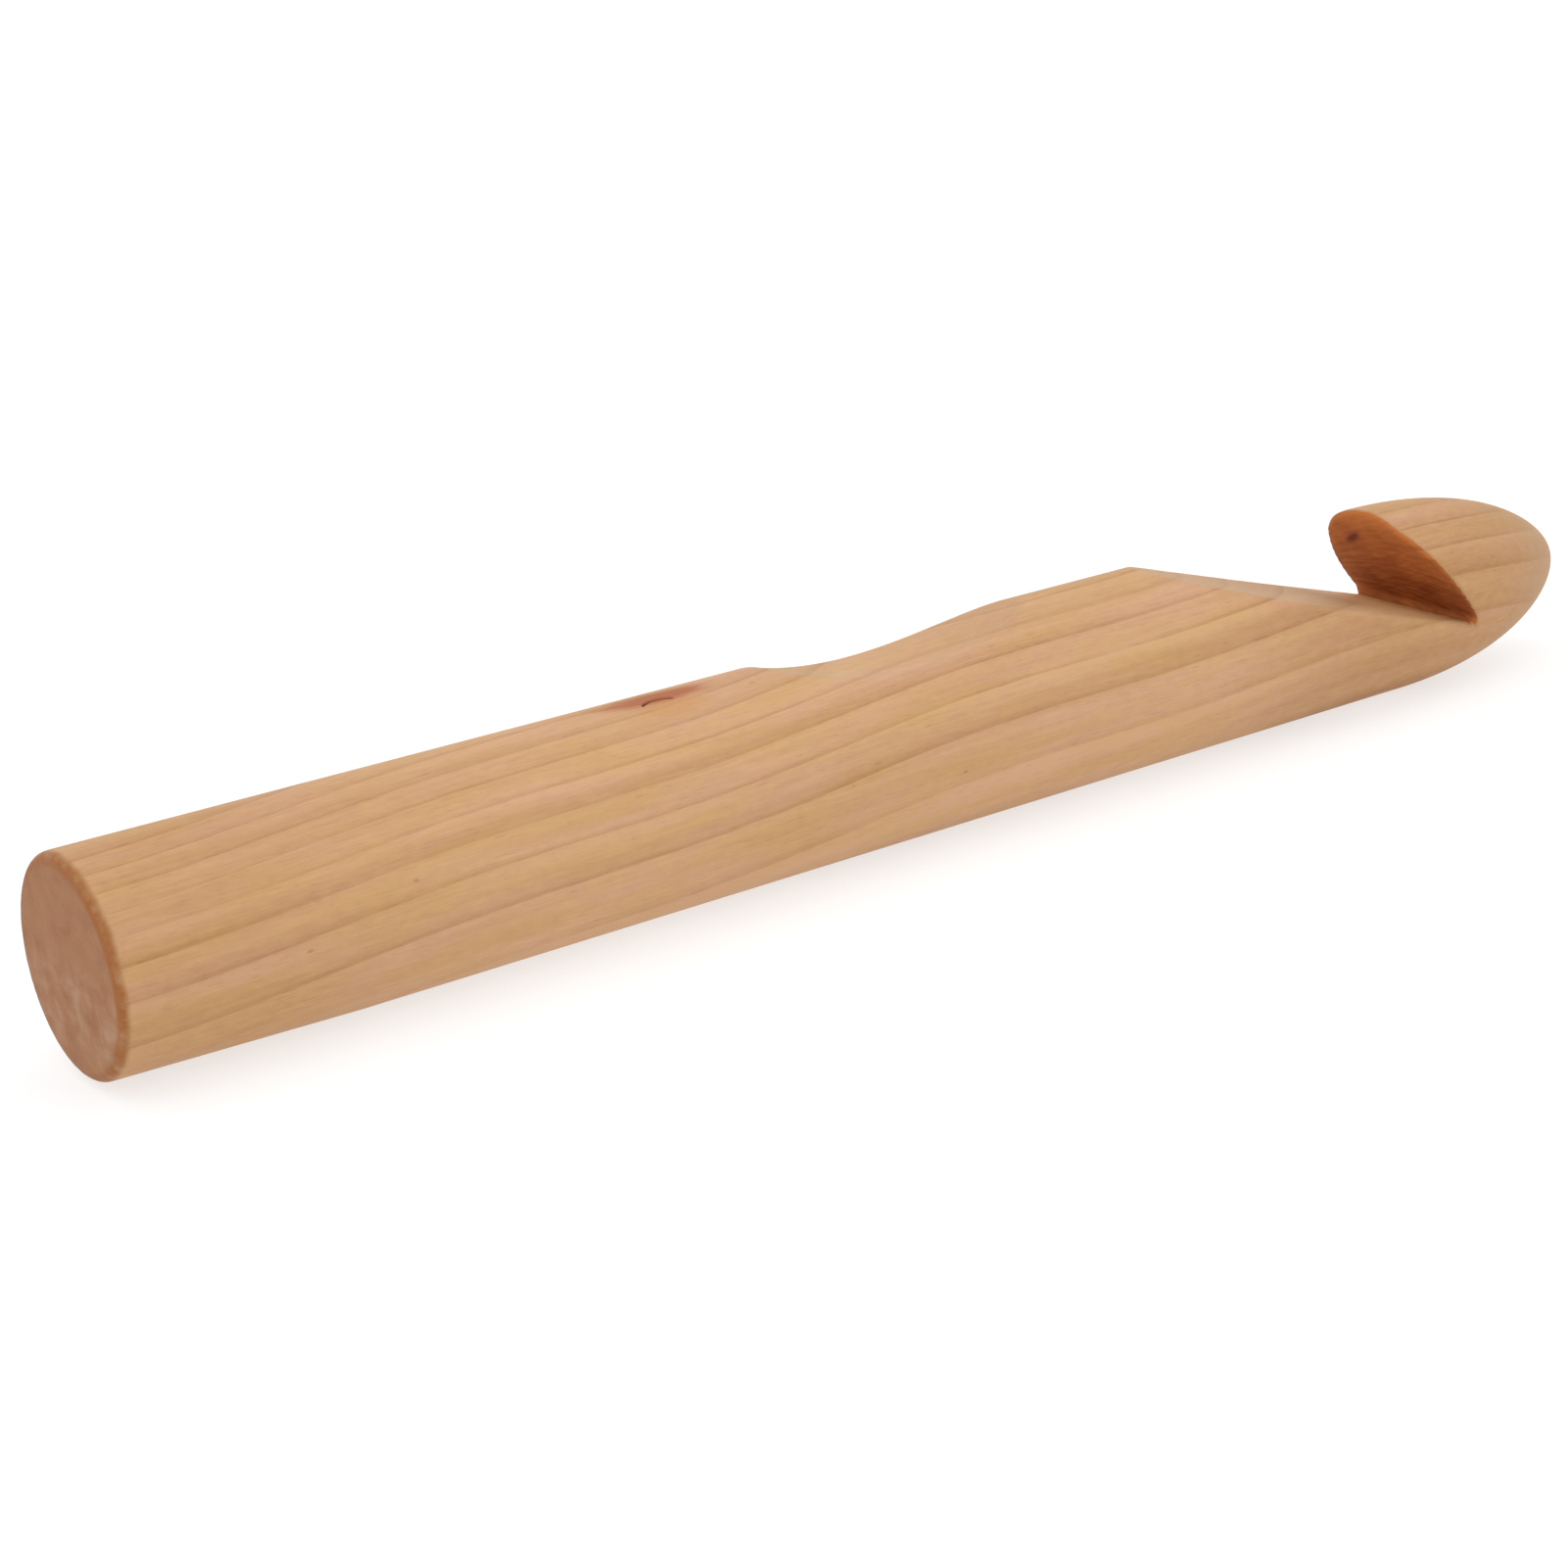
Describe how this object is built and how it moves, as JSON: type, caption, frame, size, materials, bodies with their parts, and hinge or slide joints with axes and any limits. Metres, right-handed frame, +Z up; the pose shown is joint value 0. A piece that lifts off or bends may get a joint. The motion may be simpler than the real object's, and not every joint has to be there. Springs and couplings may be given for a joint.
{
  "type": "crochet hook",
  "caption": "Thick one-piece wooden crochet hook: round shaft with a flat butt, shallow thumb rest, long sloping throat, undercut mouth and blunt rounded nose.",
  "frame": {"origin": "on the resting surface, under the middle of the hook's length and width", "axes": "+X from the flat butt to the rounded nose, along the shaft's axis; +Z up, the way the mouth and the thumb rest open; +Y completes a right-handed frame, across the hook"},
  "size_m": [0.178, 0.02, 0.02],
  "materials": {
    "wood": "satin, sanded and lightly waxed"
  },
  "bodies": {
    "root": {"crochet_hook": "wood"}
  },
  "joints": []
}
